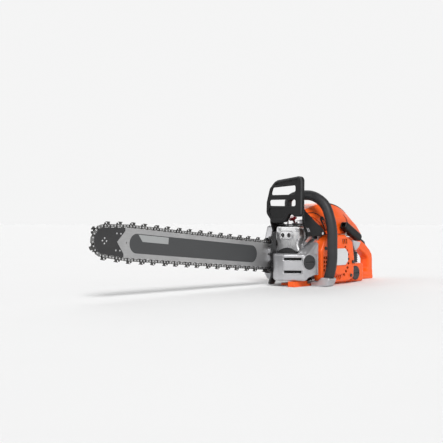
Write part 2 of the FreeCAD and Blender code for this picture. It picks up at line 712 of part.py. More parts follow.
def make_clutch():
    hub = crank_disc(62.0, 76.0, 13.0)
    for index in range(3):
        arm = slab("XZ", [(-5, 8), (5, 8), (5, 22), (-5, 22)], 63.0, 75.0, 1.0)
        arm.translate(vec(CRANK_X, 0, CRANK_Z))
        hub = hub.fuse(around_crank(arm, 120.0 * index))
    hub = hub.removeSplitter().cut(crank_disc(50, 90, DRIVE_END_RADIUS))
    save("clutch_hub", hub)
    band = crank_ring(63.0, 75.0, 31.0, 22.5)
    shoes = []
    for index in range(3):
        shoe = band.common(around_crank(wedge(110.0, 40.0), 120.0 * index))
        shoes.append(shoe)
    save("clutch_shoes", shoes)
    web = crank_disc(58.0, 60.5, 35.0)
    rim = crank_ring(58.0, 77.0, 35.0, 32.5)
    sleeve = crank_disc(46.4, 58.0, SLEEVE_RADIUS)
    drum = join([web, rim, sleeve]).cut(crank_disc(40, 90, 9.7))
    save("clutch_drum", drum)
    wheel = crank_disc(48.4, 55.6, 17.2).cut(crank_ring(50.9, 53.1, 30.0, 12.1))
    for index in range(RIM_TEETH):
        notch = crank_disc(48.0, 56.0, 3.0)
        notch.translate(vec(0, 0, 18.4))
        wheel = wheel.cut(around_crank(notch, 360.0 / RIM_TEETH * index))
    wheel = wheel.cut(crank_disc(40, 70, SLEEVE_RADIUS + FIT))
    save("rim_sprocket", wheel)
    needles = []
    for index in range(16):
        needle = rod((CRANK_X + 8.6, 47, CRANK_Z), (CRANK_X + 8.6, 58, CRANK_Z), 1.0)
        needles.append(around_crank(needle, 22.5 * index))
    save("needle_bearing", needles)
    worm = crank_ring(40.8, 44.6, 10.9, 8.5 + FIT)
    save("oil_pump", [worm.common(crank_disc(30, 60, 10.7)),
                      block((20, 34), (CASE_RIGHT_Y + 0.2, CASE_RIGHT_Y + 4), (40, 66))])
    strap_band = crank_ring(61.0, 74.0, 37.0, 35.8)
    gap = block((CRANK_X - 60, CRANK_X - 20), (50, 90), (CRANK_Z - 9, CRANK_Z + 9))
    tail = block((CRANK_X - 70, CRANK_X - 30), (64, 71), (CRANK_Z + 28.0, CRANK_Z + 29.4))
    save("brake_band", largest(strap_band.cut(gap).fuse(tail).cut(crank_disc(50, 90, 35.8))))


def wedge(opening_deg, reach):
    """A sector about the crank axis that opens upwards."""
    half = math.radians(opening_deg / 2)
    points = [vec(0, 50, 0), vec(reach * math.sin(-half), 50, reach * math.cos(half)),
              vec(0, 50, 1.6 * reach),
              vec(reach * math.sin(half), 50, reach * math.cos(half)), vec(0, 50, 0)]
    shape = Part.Face(Part.makePolygon(points)).extrude(vec(0, 40, 0))
    shape.translate(vec(CRANK_X, 0, CRANK_Z))
    return shape


def cover_outline(inset):
    """The clutch cover's side outline."""
    return [(-112 + inset, 30 + inset), (-112 + inset, 122), (-98 + inset, 163 - inset),
            (-84 - inset, 163 - inset), (-58, 140 - inset), (40 - inset, 138 - inset),
            (74 - inset, 100), (74 - inset, 36 + inset),
            (52 - inset, 12 + inset), (-98 + inset, 12 + inset)]


def make_clutch_cover():
    outer = slab("XZ", cover_outline(0.0), 47.0, 84.0, 14.0)
    outer = eased(outer, 8.0, "XZ", 84.0)
    body = outer.cut(slab("XZ", cover_outline(3.0), 40.0, 80.5, 11.0))
    body = body.cut(block((-150, -104), (40, 80.5), (31, 128)))
    body = body.cut(block((-150, -48), (40, 60.0), (0, 45)))
    for index in range(4):
        x = 6.0 + 13.0 * index
        body = body.cut(slab("XZ", [(x, 28), (x + 6, 28), (x + 6, 62), (x, 62)], 70, 90, 2.9))
    dish = on_bar(slab("XZ", [(-120, -13), (-50, -13), (-50, 13), (-120, 13)], 20.0, 40.0, 12.0))
    body = body.cut(dish)
    floor = on_bar(slab("XZ", [(-123, -16), (-47, -16), (-47, 16), (-123, 16)], 2.6, 21.0, 14.0))
    collar = on_bar(slab("XZ", [(-123, -16), (-47, -16), (-47, 16), (-123, 16)], 20.0, 30.0, 14.0))
    body = join([body, floor, collar.cut(dish)])
    for x in STUD_XS:
        body = body.cut(on_bar(disc_y(x, 0, -5, 40, STUD_RADIUS + 0.4)))
    body = body.cut(block((-140, -20), (40, 60.0), (126, 180)))
    save("clutch_cover", largest(body))


def hexagon(x, z, low, high, across):
    """A six-sided bar along Y in the bar's frame."""
    radius = across / math.sqrt(3)
    points = [(x + radius * math.cos(math.radians(60 * k)), z + radius * math.sin(math.radians(60 * k)))
              for k in range(6)]
    return slab("XZ", points, low, high)


def make_bar_clamp():
    studs = [on_bar(disc_y(x, 0, -29.9, 29.5, STUD_RADIUS - 0.02)) for x in STUD_XS]
    nuts = []
    for x in STUD_XS:
        nut = hexagon(x, 0, 22.5, 30.5, 13.0).fuse(disc_y(x, 0, 21.05, 22.5, 9.5))
        nuts.append(on_bar(nut.removeSplitter().cut(disc_y(x, 0, 10, 40, STUD_RADIUS))))
    save("bar_studs_and_nuts", studs + nuts)
    carrier = block((-116, -108), (2.6, 8.0), (-25, -17))
    carrier = carrier.fuse(disc_y(-112, -21, -2.2, 2.6, 3.4)).removeSplitter()
    carrier = carrier.cut(rod((-130, 5.3, -21), (-60, 5.3, -21), 2.4))
    adjuster = join([rod((-118, 5.3, -21), (-62, 5.3, -21), 2.4), rod((-62, 5.3, -21), (-58, 5.3, -21), 2.9)])
    save("chain_tensioner", [on_bar(carrier), on_bar(adjuster)])


def make_bumper():
    """Spiked plate bolted to the front of the case, with a foot that reaches nearly to the ground."""
    teeth = []
    for index in range(5):
        z = 136.0 - 22.0 * index
        teeth += [(-132.0, z), (-149.0, z - 6.0), (-149.0, z - 8.0), (-135.0, z - 13.0)]
    points = [(-116.0, 145.0), (-128.0, 145.0)] + teeth
    points += [(-138.0, 22.0), (-147.0, 7.0), (-143.0, 3.0), (-124.0, 3.0), (-116.0, 16.0)]
    plate = slab("XZ", points, 36.2, 40.2, 1.5)
    for z in BUMPER_SCREW_ZS:
        plate = plate.cut(disc_y(-124, z, 30, 50, 2.5))
    save("bumper_spikes", plate)


# ---------------------------------------------------------------- starter side

def starter_outline(inset):
    """The starter housing's side outline."""
    return [(-70 + inset, 14 + inset), (-72 + inset, 96 - inset), (-56 + inset, 122 - inset),
            (-34, 137 - inset), (44, 137 - inset), (84 - inset, 118 - inset), (92 - inset, 70),
            (88 - inset, 14 + inset), (60 - inset, 7 + inset), (-50, 7 + inset)]


def badge_outline(inset):
    return [(-30 + inset, 50), (-14, 32 + inset), (24, 32 + inset), (40 - inset, 52), (40 - inset, 88),
            (26, 100 - inset), (-14, 100 - inset), (-30 + inset, 84)]


def make_starter():
    low, high = STARTER_FACE_Y, CASE_LEFT_Y - 0.2
    shell = slab("XZ", starter_outline(0.0), low, high, 12.0)
    shell = eased(shell, 7.0, "XZ", low)
    shell = shell.cut(slab("XZ", starter_outline(3.0), low + 3.0, high + 1, 10.0))
    boss = soft_boss(badge_outline(-3.0))
    body = shell.fuse(boss).removeSplitter()
    body = body.cut(slab("XZ", badge_outline(2.5), -92.5, -80, 5.0)).fuse(
        slab("XZ", badge_outline(1.0), -92.5, -89.5, 5.0)).removeSplitter()
    body = body.fuse(crank_disc(-89.6, -67.0, 5.0)).removeSplitter()
    for column in range(3):
        for row in range(4):
            z = 38.0 + 11.0 * row
            x = -64.0 + 10.0 * column
            body = body.cut(slab("XZ", [(x, z), (x + 7.5, z), (x + 7.5, z + 8), (x, z + 8)], -95, -80.5, 1.5))
    for x in (30.0, 39.0, 48.0):
        body = body.cut(slab("XZ", [(x, 109), (x + 6, 112), (x + 4, 127), (x - 3, 124)], -95, -80.5, 1.5))
    for x in (-18.0, -8.0, 2.0, 12.0):
        body = body.cut(slab("XZ", [(x, 13), (x + 6, 13), (x + 9, 26), (x + 3, 26)], -95, -80.5, 1.5))
    for index in range(8):
        angle = math.radians(-55.0 + 14.5 * index)
        x = 4.0 + 54.0 * math.cos(angle)
        z = 66.0 + 46.0 * math.sin(angle)
        body = body.cut(disc_slot(x, z, math.degrees(angle)))
    for x, z in STARTER_SCREW_SPOTS:
        body = body.cut(disc_y(x, z, -90, -80, 2.5))
    body = body.cut(block((-54 - GAP, -38 + GAP), (-60.5, -50), (110, 150)))
    body = body.cut(rope_rod(-20.0, 40.0, 4.2))
    save("starter_housing", largest(body))
    plate = slab("XZ", [(-29.5, 66), (-14, 54), (28, 54), (39.5, 64), (39.5, 88), (25.7, 99.5),
                        (-13.7, 99.5), (-29.5, 84)], -95.0, -92.55, 5.0)
    save("badge_plate", eased(plate, 0.8, "XZ", -95.0))
    pulley = join([crank_disc(-80.6, -79.2, 33.0), crank_disc(-79.2, -74.0, 22.0),
                   crank_disc(-74.0, -72.5, 33.0)])
    pulley = pulley.cut(crank_disc(-90.0, -60.0, 5.0 + FIT))
    save("rope_pulley", pulley)
    save("starter_rope", crank_ring(-79.1, -74.1, 32.0, 22.05))
    save("recoil_spring", crank_ring(-89.3, -81.2, 19.0, 6.0))


def soft_boss(points):
    boss = slab("XZ", points, -92.5, STARTER_FACE_Y + 3.0, 8.0)
    return eased(boss, 3.0, "XZ", -92.5)


def disc_slot(x, z, lean_deg):
    """A short radial vent through the starter's face."""
    tool = block((-7.5, 7.5), (-100, -80.5), (-3.2, 3.2))
    tool.rotate(vec(0, 0, 0), vec(0, 1, 0), -lean_deg)
    tool.translate(vec(x, 0, z))
    return tool


def rope_rod(low, high, radius):
    """A round bar along the starter handle's pull."""
    start = vec(62.0, -70.0, 124.0)
    out = vec(0.0, -0.12, 0.993)
    return Part.makeCylinder(radius, high - low, start.add(out * low), out)


def make_starter_handle():
    """The pull handle lies along the housing's top edge, over the rope's outlet."""
    front = vec(46.0, -75.0, 164.0)
    length = 90.0
    body = soft_slab("XZ", [(0, -11), (0, 11), (length - 8, 11), (length, 7), (length, -9), (40, -12)],
                     -11, 11, 6.0, 5.0)
    body = body.cut(block((-1, 12), (-6, 6), (-6, 6)))
    body.rotate(vec(0, 0, 0), vec(0, 1, 0), 26.0)
    body.translate(front)
    save("starter_handle", body)


# ---------------------------------------------------------------- chassis and handles

def make_chassis():
    """Fuel tank, rear handle loop and under-tray in one moulding."""
    loop = slab("XZ", [(128, 128), (214, 127), (243, 115), (264, 105), (288, 88), (301, 74), (303, 58),
                       (303, 30), (REAR_END_X, 24), (REAR_END_X, 4), (262, 0), (128, 0)], -15, 15, 10.0)
    hand_room = slab("XZ", [(160, 60), (168, 92), (232, 89), (251, 79), (270, 69), (276, 60), (276, 32),
                            (268, 25), (178, 27), (162, 40)], -20, 20, 9.0)
    loop = loop.cut(hand_room)
    loop = eased(eased(loop, 6.0, "XZ", -15), 6.0, "XZ", 15)
    tank = soft_slab("XY", [(96, -60), (96, 46), (172, 46), (214, 18), (214, -18), (174, -60)],
                     1.0, 52.0, 14.0, 5.0)
    heel = soft_slab("XY", [(206, -17), (206, 17), (REAR_END_X, 17), (REAR_END_X, -17)], 0.0, 12.0, 8.0, 3.0)
    neck = slab("XZ", [(96, 48), (96, 100), (130, 127), (164, 127), (164, 48)], -28, 30, 8.0)
    tray = slab("XY", [(-108, -50), (-108, 30), (100, 30), (100, -54)], 0.0, 6.0, 10.0)
    toe = slab("XZ", [(-152, 0), (-152, 14.5), (-92, 14.5), (-92, 0)], -50, -30, 3.0)
    filler = soft_slab("XZ", [(95, 6), (95, 48), (139, 48), (139, 6)], -66, -55, 18.0, 2.0)
    body = join([loop, tank, heel, neck, tray, toe, filler])
    body = body.cut(soft_slab("XY", [(101, -54), (101, 41), (158, 41), (158, -54)], 7.0, 46.0, 10.0, 3.0))
    body = body.cut(block((112, 154), (-24, 26), (60, 118)))
    body = body.cut(disc_y(117, 27, -70, -40, 12.0)).cut(disc_y(117, 27, -70, -61.0, 17.0))
    body = body.cut(block((174, 232), (-4.6, 4.6), (60, 104)))
    body = body.cut(block((212, 285), (-4.6, 4.6), (91, 130)))
    body = body.cut(disc_y(188, 95, -10, 10, 1.5)).cut(disc_y(221, 113, -10, 10, 1.5))
    save("rear_handle_tank", largest(body))
    cap = join([disc_y(117, 27, -71.5, -66.3, 19.5), disc_y(117, 27, -66.3, -61.3, 16.0),
                disc_y(117, 27, -61.3, -48, 12.0 - GAP)])
    slot = block((100, 134), (-75, -69.5), (24.5, 29.5)).common(disc_y(117, 27, -80, -60, 15.5))
    save("fuel_cap", cap.cut(slot))


def make_controls():
    """Trigger below the rear grip, lockout above it, and the choke lever beside it."""
    trigger = slab("XZ", [(182, 98), (200, 99), (222, 92), (223, 88), (213, 80), (206, 66), (197, 64),
                          (191, 77), (181, 88)], -4.2, 4.2, 2.5)
    save("throttle_trigger", trigger.cut(disc_y(188, 95, -9, 9, 1.5 + FIT)))
    lockout = slab("XZ", [(214, 116), (220, 126), (246, 125), (273, 112), (279, 101), (272, 99), (240, 106),
                          (220, 106)], -4.2, 4.2, 2.5)
    save("throttle_lockout", lockout.cut(disc_y(221, 113, -9, 9, 1.5 + FIT)))
    pins = [disc_y(188, 95, -10, 10, 1.5), disc_y(221, 113, -10, 10, 1.5)]
    save("hinge_pins", pins + guard_pins())
    lever = join([rod((150, -28.4, 112), (150, -36, 112), 5.5),
                  slab("XZ", [(146, 108), (146, 116), (172, 122), (174, 116)], -36, -33, 2.0)])
    save("choke_lever", lever)


def handle_route():
    """The front handle's centreline, from its foot on the left over the top to its right end."""
    route = [(-101, 14), (-114.5, 62), (-114.5, 160), (-94, 219), (-54, 244.5), (12, 246), (31, 234),
             (31, 204)]
    return [(HANDLE_PLANE_X, y, z) for y, z in route]


def make_front_handle():
    route = handle_route()
    core = tube(route, TUBE_RADIUS)
    sleeve = tube(route[:5] + [(HANDLE_PLANE_X, 2.0, 245.8)], GRIP_RADIUS)
    core = core.cut(tube(route, TUBE_RADIUS - 2.0))
    save("front_handle_tube", core)
    grip = sleeve.cut(tube(route, TUBE_RADIUS + FIT))
    lower = block((-120, -20), (-160, -60), (-20, 24.0))
    save("front_handle_grip", largest(grip.cut(lower)))
    foot = soft_slab("YZ", [(-119, 24), (-90, 24), (-78, 14), (-56, 14), (-56, 0.5), (-84, 0), (-108, 2)],
                     -86, -50, 5.0, 3.0)
    foot = foot.cut(tube(route, TUBE_RADIUS + FIT))
    foot = foot.cut(block((-160, 0), (-160, -40), (-20, 0)))
    foot = foot.cut(slab("XZ", starter_outline(-GAP), STARTER_FACE_Y - GAP, -40.0))
    lug = soft_slab("XY", [(-79, 20), (-79, 41.5), (-53, 41.5), (-53, 20)], 200.0, 204.0, 8.0, 1.0)
    strut = block((-59.4, -54.2), (39.5, 41.5), (CASE_DECK_Z, 202.0))
    save("handle_mounts", [largest(foot), join([lug, strut])])


def coil(base, axis, radius, wire, turns, height):
    """A helical spring."""
    helix = Part.makeHelix(height / turns, height, radius)
    section = Part.Wire(Part.makeCircle(wire, vec(radius, 0, 0), vec(0, 1, 0)))
    body = Part.Wire(helix.Edges).makePipeShell([section], True, True)
    body.Placement = FreeCAD.Placement(vec(*base), FreeCAD.Rotation(vec(0, 0, 1), vec(*axis)))
    return body


def make_springs():
    springs = [coil((146, -46, 54.5), (0, 0, 1), 7.0, 1.5, 6, 32.0),
               coil((146, 40, 54.5), (0, 0, 1), 7.0, 1.5, 6, 32.0)]
    save("vibration_springs", springs)


# ---------------------------------------------------------------- top cover

def cover_section(x, top, shoulder, half_top, left, right, base):
    """One cross-section of the top cover."""
    centre = -8.0
    points = [(left, base), (left, shoulder), (centre - half_top, top), (centre + half_top, top),
              (right, shoulder), (right, base)]
    return rounded([vec(x, y, z) for y, z in points], 9.0)


def cover_loft(inset):
    """The domed cover as a loft, shrunk on every side by an inset."""
    stations = [
        (-68 + inset, 204, 176, 18, -46, 38),
        (-40, 216, 184, 22, -56, 44),
        (-8, 223, 186, 24, -60, 47),
        (30, 225, 186, 24, -62, 50),
        (86, 216, 181, 23, -60, 48),
        (132, 195, 170, 22, -54, 44),
        (168, 168, 156, 20, -46, 38),
        (198 - inset, 143, 138, 18, -38, 32),
    ]
    wires = []
    for x, top, shoulder, half_top, left, right in stations:
        base = 131.5 - inset
        sides = (left + inset, right - inset)
        wires.append(cover_section(x, top - inset, shoulder - inset * 0.6, half_top, sides[0], sides[1], base))
    return Part.makeLoft(wires, True, False)


def make_cover():
    shell = cover_loft(0.0).cut(cover_loft(3.0))
    below = slab("XZ", [(-90, 120), (-90, 190), (-60, 186), (-34, 166), (-14, 139.0), (150, 139.0), (176, 134),
                        (210, 134), (210, 120)], -90, 90)
    shell = shell.cut(below)
    shell = shell.cut(slab("XY", [(-90, -31), (-90, 80), (30, 80), (30, 54)], 100, 240))
    fascia = slab("XY", [(-90, -31), (30, 54), (31.7, 51.6), (-88.3, -33.4)], 189, 240)
    shell = join([shell, fascia.common(cover_loft(0.0))])
    save("cylinder_cover", largest(shell))
    insert = cover_loft(3.4).cut(cover_loft(6.4))
    insert = insert.common(slab("XZ", [(-90, 163), (-90, 210), (-56, 200), (-30, 178), (-19, 163)], -90, -22))
    save("front_baffle", largest(insert))


def make_latches():
    """Sprung clips that hook the cover down at each side."""
    names = ((-1, "cover_latch_left", -63.6), (1, "cover_latch_right", 51.2))
    for side, name, y in names:
        low, high = sorted((y, y + side * 4.0))
        start = 0.0 if side < 0 else 60.0
        outline = [(-20, 170), (-12, 182), (-2, 176), (10, 148), (10, 143), (-8, 143)]
        body = slab("XZ", [(start + x, z) for x, z in outline], low, high)
        middle = 0.5 * (low + high)
        barrel = rod((start - 8, middle, 143), (start + 10, middle, 143), 0.5 * (high - low))
        save(name, body.fuse(barrel).removeSplitter())


# ---------------------------------------------------------------- hand guard and button

def make_guard():
    """Brake guard: a windowed frame across the front, with an arm down each side to the pivot."""
    outer = guard_outline(0.0)
    frame = slab("YZ", outer, GUARD_X - 5, GUARD_X + 7, 16.0)
    frame = eased(frame, 2.5, "YZ", GUARD_X - 5)
    frame = frame.cut(slab("YZ", guard_outline(4.0), GUARD_X + 2, GUARD_X + 20, 9.0))
    windows = [
        [(44, 245), (37, 265), (-41, 270), (-41, 245)],
        [(47, 216), (49, 232), (-41, 232), (-41, 214)],
    ]
    for window in windows:
        frame = frame.cut(slab("YZ", window, GUARD_X - 10, GUARD_X + 20, 5.0))
    recesses = [
        [(28, 271), (24, 277), (-48, 287), (-50, 273)],
        [(38, 180), (50, 200), (48, 210), (-6, 210), (-10, 198), (2, 180)],
    ]
    for recess in recesses:
        frame = frame.cut(slab("YZ", recess, GUARD_X - 10, GUARD_X - 2, 4.0))
    arms = []
    for low, high in ((-67.0, -60.0), (43.5, 47.3)):
        arm = slab("XZ", [(GUARD_X - 3, 206), (-117, 197), (-39, 150), (-35, 143), (-42, 134.5), (-112, 133),
                          (GUARD_X, 170)], low, high, 5.0)
        arms.append(arm)
    link = block((GUARD_X - 4, GUARD_X + 5), (-66, -56), (188, 205))
    body = join([frame] + arms + [link])
    for y in (-63.5, 45.0):
        body = body.cut(disc_y(GUARD_PIVOT[0], GUARD_PIVOT[1], y - 9, y + 9, 4.0 + FIT))
    save("hand_guard", largest(body))


def guard_outline(inset):
    """The guard seen from the front, shrunk by an inset."""
    return [(22 - inset, 285 - inset), (-54 + inset, 294 - inset), (-62 + inset, 286 - inset),
            (-61 + inset, 186 + inset), (-38 - inset, 186 + inset), (-20 - inset, 196 + inset),
            (-8 + inset, 172 + inset), (36 - inset, 168 + inset), (58 - inset, 196), (57 - inset, 226),
            (46 - inset, 264)]


def guard_pins():
    """The two short pins that the guard turns on."""
    x, z = GUARD_PIVOT
    return [disc_y(x, z, -69.0, -59.7, 4.0), disc_y(x, z, 43.2, 48.0, 4.0)]


def make_button():
    stem = valve_rod(-8.0, 18.0, 3.0)
    head = valve_rod(15.0, 18.0, 5.0).fuse(valve_rod(18.0, 22.0, 11.0)).fuse(valve_rod(22.0, 25.5, 8.5))
    save("decompression_button", join([stem, head]))


def make_screws():
    """The visible case, starter and muffler screws."""
    screws = []
    for x, z in STARTER_SCREW_SPOTS:
        screws.append(screw((x, STARTER_FACE_Y, z), (0, -1, 0), 6.0))
    for z in BUMPER_SCREW_ZS:
        screws.append(screw((-124, 40.2, z), (0, 1, 0), 3.9))
    save("case_screws", screws)


def main():
    os.makedirs("parts", exist_ok=True)
    make_bar()
    make_chain()
    make_crankcase()
    make_crank()
    make_piston()
    make_cylinder()
    make_ignition()
    make_flywheel()
    make_exhaust()
    make_intake()
    make_clutch()
    make_clutch_cover()
    make_bar_clamp()
    make_bumper()
    make_starter()
    make_starter_handle()
    make_chassis()
    make_controls()
    make_front_handle()
    make_springs()
    make_cover()
    make_latches()
    make_guard()
    make_button()
    make_screws()


main()
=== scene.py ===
"""The looks of a petrol chainsaw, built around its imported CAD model.

The model's own frame has +X towards the rear handle, +Z up and -Y towards the starter. The bar's paint, the
camera and the stage are in metres, and the trim's sizes and places are in millimetres.
"""

import json
import math

import bmesh
import bpy
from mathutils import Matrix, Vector
from mathutils.bvhtree import BVHTree


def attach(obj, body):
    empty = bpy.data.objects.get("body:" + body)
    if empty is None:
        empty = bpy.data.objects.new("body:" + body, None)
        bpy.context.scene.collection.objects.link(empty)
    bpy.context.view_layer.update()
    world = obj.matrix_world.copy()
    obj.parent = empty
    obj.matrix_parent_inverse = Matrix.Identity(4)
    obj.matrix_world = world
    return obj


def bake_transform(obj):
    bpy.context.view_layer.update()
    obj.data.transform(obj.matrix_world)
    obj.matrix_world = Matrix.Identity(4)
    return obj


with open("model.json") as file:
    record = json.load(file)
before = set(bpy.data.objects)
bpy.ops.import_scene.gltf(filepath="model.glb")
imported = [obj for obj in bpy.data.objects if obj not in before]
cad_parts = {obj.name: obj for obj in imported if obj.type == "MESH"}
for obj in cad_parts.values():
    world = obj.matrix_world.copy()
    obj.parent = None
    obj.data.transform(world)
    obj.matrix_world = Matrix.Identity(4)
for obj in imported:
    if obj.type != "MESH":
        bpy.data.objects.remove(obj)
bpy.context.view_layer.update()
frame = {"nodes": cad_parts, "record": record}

MM = 0.001

# The guide bar's own frame: its nose lies a reach ahead of the crank, a little up
CRANK = Vector((-8, 0, 70.5)) * MM
BAR_Y = 52 * MM
BAR_PITCH = math.radians(4.85)
BAR_REACH = 714 * MM
BAR_ALONG = Vector((math.cos(BAR_PITCH), 0, -math.sin(BAR_PITCH)))
BAR_UP = Vector((math.sin(BAR_PITCH), 0, math.cos(BAR_PITCH)))
NOSE = Vector((CRANK.x, BAR_Y, CRANK.z)) - BAR_ALONG * BAR_REACH

# The bar's paint, measured from the nose axis along the bar and up: a round-ended panel and a slanted field
PANEL_START = 75 * MM
PANEL_END = 538 * MM
PANEL_HALF_WIDTH = 22.7 * MM
FIELD_START = 120 * MM
FIELD_END = 200 * MM
FIELD_LOW = 5 * MM
FIELD_HIGH = 21 * MM
FIELD_SLANT = 0.9
PAINT_BLUR = 0.2 * MM

# What the looks share: the range that most of a noise's values lie in, the finest relief, and wear and coat
NOISE_SPAN = (0.3, 0.7)
FINE_RELIEF = 0.1 * MM
EDGE_SHARPNESS = 6.0
BEVEL_SAMPLES = 4
SCUFF_SCALE = 420.0
COAT_ROUGHNESS = 0.12

# Camera, fitted to the photo: its place, the way it looks, and its sensor and lens in millimetres
CAMERA_PLACE = Vector((-1.9443, -1.3610, 0.1733))
CAMERA_AIM = Vector((0.7535, 0.6575, 0))
SENSOR = 36.0
LENS = 68.34


# ---------------------------------------------------------------- node helpers

class Shader:
    """A material with one Principled shader, and short names for the nodes that feed it."""

    def __init__(self, name):
        self.name = name
        self.material = bpy.data.materials.new(name + "_look")
        self.material.use_nodes = True
        self.tree = self.material.node_tree
        self.surface = self.tree.nodes["Principled BSDF"]
        self.place = self.tree.nodes.new("ShaderNodeTexCoord").outputs["Object"]

    def node(self, kind, **settings):
        made = self.tree.nodes.new("ShaderNode" + kind)
        for key, value in settings.items():
            setattr(made, key, value)
        return made

    def feed(self, socket, value):
        """Link an output to an input, or set the input to a plain value."""
        if isinstance(value, bpy.types.NodeSocket):
            self.tree.links.new(value, socket)
        else:
            socket.default_value = value

    def math(self, operation, first, second=0.0):
        made = self.node("Math", operation=operation)
        for socket, value in zip(made.inputs, (first, second)):
            self.feed(socket, value)
        return made.outputs[0]

    def stretched(self, scale):
        """The object place, scaled along each axis."""
        mapping = self.node("Mapping")
        self.feed(mapping.inputs["Vector"], self.place)
        mapping.inputs["Scale"].default_value = scale
        return mapping.outputs[0]

    def noise(self, scale, detail, rough=0.55, stretch=None):
        made = self.node("TexNoise")
        self.feed(made.inputs["Vector"], self.place if stretch is None else self.stretched(stretch))
        made.inputs["Scale"].default_value = scale
        made.inputs["Detail"].default_value = detail
        made.inputs["Roughness"].default_value = rough
        return made.outputs["Fac"]

    def span(self, value, low, high, out_low=0.0, out_high=1.0):
        """Map a range of a value to another, with its ends held."""
        made = self.node("MapRange")
        for socket, number in zip(made.inputs, (value, low, high, out_low, out_high)):
            self.feed(socket, number)
        return made.outputs[0]

    def mix(self, share, first, second):
        """Blend two colours, whose sockets come after the node's number and vector ones."""
        made = self.node("Mix", data_type="RGBA")
        self.feed(made.inputs[0], share)
        self.feed(made.inputs[6], first)
        self.feed(made.inputs[7], second)
        return made.outputs[2]

    def dot(self, vector):
        """The object place measured along a vector."""
        made = self.node("VectorMath", operation="DOT_PRODUCT")
        self.feed(made.inputs[0], self.place)
        made.inputs[1].default_value = vector
        return made.outputs["Value"]

    def rounded_normal(self, radius):
        """The surface direction, turned near an edge as if the edge were rounded."""
        soft = self.node("Bevel", samples=BEVEL_SAMPLES)
        soft.inputs["Radius"].default_value = radius
        return soft.outputs[0]

    def edges(self, radius):
        """High along the edges and corners of the piece, and 0 on its faces."""
        turn = self.node("VectorMath", operation="DOT_PRODUCT")
        self.feed(turn.inputs[0], self.rounded_normal(radius))
        self.feed(turn.inputs[1], self.node("NewGeometry").outputs["Normal"])
        return self.math("MULTIPLY", self.math("SUBTRACT", 1.0, turn.outputs["Value"]), EDGE_SHARPNESS)

    def relief(self, height, strength, distance, round_edges=None):
        """Bump from a height, on edges that are rounded over by a radius."""
        bump = self.node("Bump")
        bump.inputs["Strength"].default_value = strength
        bump.inputs["Distance"].default_value = distance
        self.feed(bump.inputs["Height"], height)
        if round_edges:
            self.feed(bump.inputs["Normal"], self.rounded_normal(round_edges))
        self.feed(self.surface.inputs["Normal"], bump.outputs[0])


def rgb(red, green, blue):
    """An opaque colour."""
    return (red, green, blue, 1.0)


def shade(colour, factor):
    """The colour made lighter or darker by a factor."""
    return rgb(*(min(1.0, channel * factor) for channel in colour[:3]))


def base_look(name, colour, rough, spread, grain, grain_depth, metallic=0.0, patch=30.0, wear_colour=None,
              wear=0.0, edge_radius=0.0006, coat=0.0, dirt=0.0, specular=0.5):
    """A surface with soft colour patches, fine grain, worn edges and a little dust.

    spread is how far the patches differ, patch and grain are noise scales per metre, and wear, coat and dirt
    are shares from 0 to 1.
    """
    look = Shader(name)
    patches = look.span(look.noise(patch, 4.0), *NOISE_SPAN)
    tint = look.mix(patches, shade(colour, 1.0 - spread), shade(colour, 1.0 + spread))
    if dirt:
        dust = look.span(look.noise(patch * 2.3, 6.0, 0.7), 0.48, 0.78, 0.0, dirt)
        tint = look.mix(dust, tint, shade(colour, 0.45))
    if wear_colour is not None:
        scuffs = look.span(look.noise(SCUFF_SCALE, 4.0, 0.7), 0.42, 0.62)
        worn = look.math("MULTIPLY", look.edges(edge_radius * 1.6), scuffs)
        worn = look.span(look.math("MULTIPLY", worn, wear), 0.0, 1.0)
        tint = look.mix(worn, tint, wear_colour)
    look.feed(look.surface.inputs["Base Color"], tint)
    look.surface.inputs["Metallic"].default_value = metallic
    look.surface.inputs["Specular IOR Level"].default_value = specular
    look.surface.inputs["Coat Weight"].default_value = coat
    look.surface.inputs["Coat Roughness"].default_value = COAT_ROUGHNESS
    smears = look.noise(patch * 3.0, 5.0, 0.65)
    look.feed(look.surface.inputs["Roughness"], look.span(smears, *NOISE_SPAN, rough - 0.05, rough + 0.09))
    look.relief(look.noise(grain, 2.0), grain_depth, 2 * FINE_RELIEF, edge_radius)
    return look


# ---------------------------------------------------------------- materials

def orange_plastic():
    return base_look("orange_plastic", rgb(0.88, 0.110, 0.008), 0.40, specular=0.35, spread=0.05, grain=900.0,
                     grain_depth=0.05, wear_colour=rgb(1.0, 0.32, 0.10), wear=0.5, coat=0.06, dirt=0.10,
                     edge_radius=0.0009)


def black_plastic():
    return base_look("black_plastic", rgb(0.006, 0.006, 0.0065), 0.38, specular=0.22, spread=0.14,
                     grain=1500.0, grain_depth=0.22, wear_colour=rgb(0.12, 0.12, 0.12), wear=0.6, dirt=0.12,
                     edge_radius=0.0008)


def grey_plastic():
    return base_look("grey_plastic", rgb(0.030, 0.031, 0.033), 0.44, specular=0.4, spread=0.12,
                     grain=1500.0, grain_depth=0.22, wear_colour=rgb(0.16, 0.16, 0.16), wear=0.5, dirt=0.12,
                     edge_radius=0.0008)


def handle_rubber():
    return base_look("handle_rubber", rgb(0.022, 0.022, 0.024), 0.48, specular=0.4, spread=0.10, patch=45.0,
                     grain=2200.0, grain_depth=0.45, dirt=0.15, edge_radius=0.0008)


def magnesium():
    return base_look("magnesium", rgb(0.50, 0.50, 0.515), 0.34, metallic=0.72, spread=0.05, grain=700.0,
                     grain_depth=0.10, wear_colour=rgb(0.75, 0.75, 0.76), wear=0.8, dirt=0.10,
                     edge_radius=0.0012)


def aluminium():
    return base_look("aluminium", rgb(0.58, 0.58, 0.60), 0.42, metallic=1.0, spread=0.07, grain=500.0,
                     grain_depth=0.25, dirt=0.2)


def bright_steel():
    return base_look("bright_steel", rgb(0.62, 0.62, 0.63), 0.26, metallic=1.0, spread=0.05, grain=1600.0,
                     grain_depth=0.08, dirt=0.08, edge_radius=0.0003)


